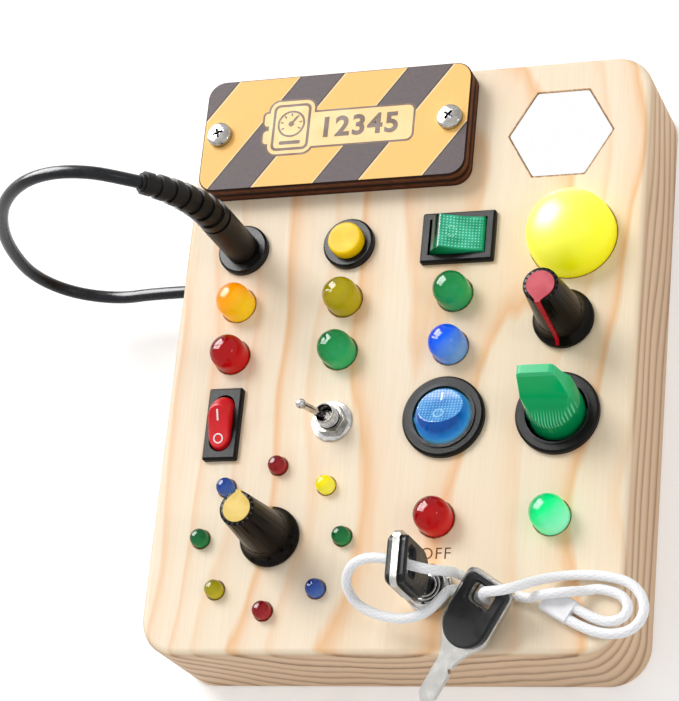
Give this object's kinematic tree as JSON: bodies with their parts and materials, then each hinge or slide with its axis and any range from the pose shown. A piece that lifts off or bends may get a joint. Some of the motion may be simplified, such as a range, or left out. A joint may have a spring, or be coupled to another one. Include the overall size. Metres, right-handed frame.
{
  "type": "busy board",
  "caption": "Hand-held wooden busy board with rockers, toggle, push button, key switch, knobs, coloured lamps, a plug on a lead, a mirror and a striped sign.",
  "frame": {"origin": "centre of the case's footprint on the surface it lies on, back panel down", "axes": "+X across the face to the right, +Y up the face towards the sign, +Z out of the face"},
  "size_m": [0.1917, 0.1839, 0.0942],
  "materials": {
    "pine": "sanded and clear oiled",
    "panel_ply": "thin plywood, printed",
    "mirror": "silvered acrylic",
    "sign_ply": "plywood printed with yellow and black warning stripes, burnt edge",
    "nickel": "bright nickel plate",
    "spring_wire": "bright wire",
    "led_amber": "clear tinted, lit",
    "led_olive": "clear tinted, unlit",
    "led_red": "clear tinted, unlit",
    "led_green": "clear tinted, unlit",
    "led_blue": "clear tinted, lit",
    "led_bright_green": "clear tinted, lit",
    "small_led_yellow": "clear tinted, one of two lit",
    "small_led_blue": "clear tinted, unlit",
    "dome_yellow": "frosted translucent",
    "pcb_green": "solder-masked board",
    "holder_black": "moulded",
    "cell_jacket": "plain printed jacket",
    "switch_black": "semi-gloss moulded",
    "button_yellow": "semi-gloss moulded",
    "rocker_green": "translucent, dotted",
    "rocker_red": "semi-gloss moulded",
    "rocker_blue": "translucent, dotted",
    "paddle_green": "translucent, ribbed inside",
    "terminal_brass": "tinned brass",
    "toggle_case": "moulded phenolic",
    "pot_metal": "pressed steel case",
    "shaft_metal": "turned",
    "knob_black": "satin, fluted",
    "pointer_red": "satin",
    "pointer_yellow": "satin",
    "lock_dark": "dark zinc face",
    "key_steel": "stamped and milled, nickel plated",
    "key_black": "satin moulded",
    "plug_black": "satin moulded",
    "lead_black": "smooth jacket",
    "cord_white": "braided",
    "sleeve_white": "heat-pressed cord joint"
  },
  "bodies": {
    "case": {"body_block": "pine", "back_panel": "panel_ply", "hex_mirror": "mirror", "sign_plate": "sign_ply", "sign_screws": "nickel", "led_amber": "led_amber", "led_olive": "led_olive", "leds_red": "led_red", "leds_green": "led_green", "led_blue": "led_blue", "led_bright_green": "led_bright_green", "small_leds_red": "led_red", "small_leds_yellow": "small_led_yellow", "small_leds_green": "led_green", "small_leds_blue": "small_led_blue", "dome_lens": "dome_yellow", "circuit_boards": "pcb_green", "battery_holder": "holder_black", "batteries": "cell_jacket", "panel_nuts": "nickel", "shaft_nuts": "nickel", "jack_socket": "switch_black", "cable_gland": "lead_black", "button_housing": "switch_black", "green_rocker_housing": "switch_black", "red_rocker_housing": "switch_black", "blue_rocker_housing": "switch_black", "paddle_housing": "switch_black", "switch_terminals": "terminal_brass", "toggle_body": "toggle_case", "toggle_bushing": "nickel", "toggle_washer": "nickel", "toggle_nut": "nickel", "potentiometer": "pot_metal", "rotary_switch": "switch_black", "lock_barrel": "nickel"},
    "plug": {"plug_body": "plug_black", "plug_barrel": "nickel", "cable": "lead_black"},
    "button": {"button_cap": "button_yellow", "button_spring": "spring_wire"},
    "green_rocker": {"green_rocker_key": "rocker_green"},
    "red_rocker": {"red_rocker_key": "rocker_red"},
    "blue_rocker": {"blue_rocker_key": "rocker_blue"},
    "paddle": {"paddle_lever": "paddle_green"},
    "toggle": {"toggle_lever": "nickel"},
    "red_dial": {"pot_shaft": "shaft_metal", "red_knob": "knob_black", "red_pointer": "pointer_red"},
    "yellow_dial": {"rotary_shaft": "shaft_metal", "yellow_knob": "knob_black", "yellow_pointer": "pointer_yellow"},
    "lock_plug": {"lock_core": "lock_dark"},
    "key_set": {"key_cord": "cord_white", "cord_sleeve": "sleeve_white", "key_2_blade": "key_steel", "key_2_head": "key_black"},
    "key_1": {"key_1_blade": "key_steel", "key_1_head": "key_black"}
  },
  "joints": [
    {"name": "plug_pull", "type": "slide", "parent": "case", "child": "plug", "axis": [0, 0, 1], "range_m": [0, 0.012]},
    {"name": "button_press", "type": "slide", "parent": "case", "child": "button", "axis": [0, 0, -1], "range_m": [0, 0.0022], "stiffness_N_per_m": 250, "springref_m": -0.0015, "deforming": ["button_spring"]},
    {"name": "green_rocker_tilt", "type": "hinge", "parent": "case", "child": "green_rocker", "pos_m": [0.0149, 0.0326, 0.0317], "axis": [0, 1, 0], "range_deg": [-40, 0]},
    {"name": "red_rocker_tilt", "type": "hinge", "parent": "case", "child": "red_rocker", "pos_m": [-0.0489, -0.0201, 0.0317], "axis": [1, 0, 0], "range_deg": [-40, 0]},
    {"name": "blue_rocker_tilt", "type": "hinge", "parent": "case", "child": "blue_rocker", "pos_m": [0.0149, -0.0201, 0.0317], "axis": [-1, 0, 0], "range_deg": [-40, 0]},
    {"name": "paddle_tilt", "type": "hinge", "parent": "case", "child": "paddle", "pos_m": [0.0464, -0.0201, 0.0317], "axis": [-1, 0, 0], "range_deg": [-15, 0]},
    {"name": "toggle_flip", "type": "hinge", "parent": "case", "child": "toggle", "pos_m": [-0.0171, -0.0201, 0.0356], "axis": [0, 1, 0], "range_deg": [0, 40]},
    {"name": "pot_turn", "type": "hinge", "parent": "case", "child": "red_dial", "pos_m": [0.0464, 0.0067, 0.032], "axis": [0, 0, 1], "range_deg": [-300, 0]},
    {"name": "rotary_turn", "type": "hinge", "parent": "case", "child": "yellow_dial", "pos_m": [-0.0314, -0.053, 0.032], "axis": [0, 0, 1], "range_deg": [-315, 0]},
    {"name": "lock_turn", "type": "hinge", "parent": "case", "child": "lock_plug", "pos_m": [0.0149, -0.068, 0.032], "axis": [0, 0, 1], "range_deg": [-45, 0]},
    {"name": "key_lift", "type": "slide", "parent": "case", "child": "key_set", "axis": [0, 0, 1], "range_m": [0, 0.016]},
    {"name": "key_turn", "type": "hinge", "parent": "key_set", "child": "key_1", "pos_m": [0.0149, -0.068, 0.032], "axis": [0, 0, 1], "range_deg": [-45, 0]}
  ],
  "couplings": [
    {"joint": "key_turn", "follows": "lock_turn", "ratio": 1}
  ]
}
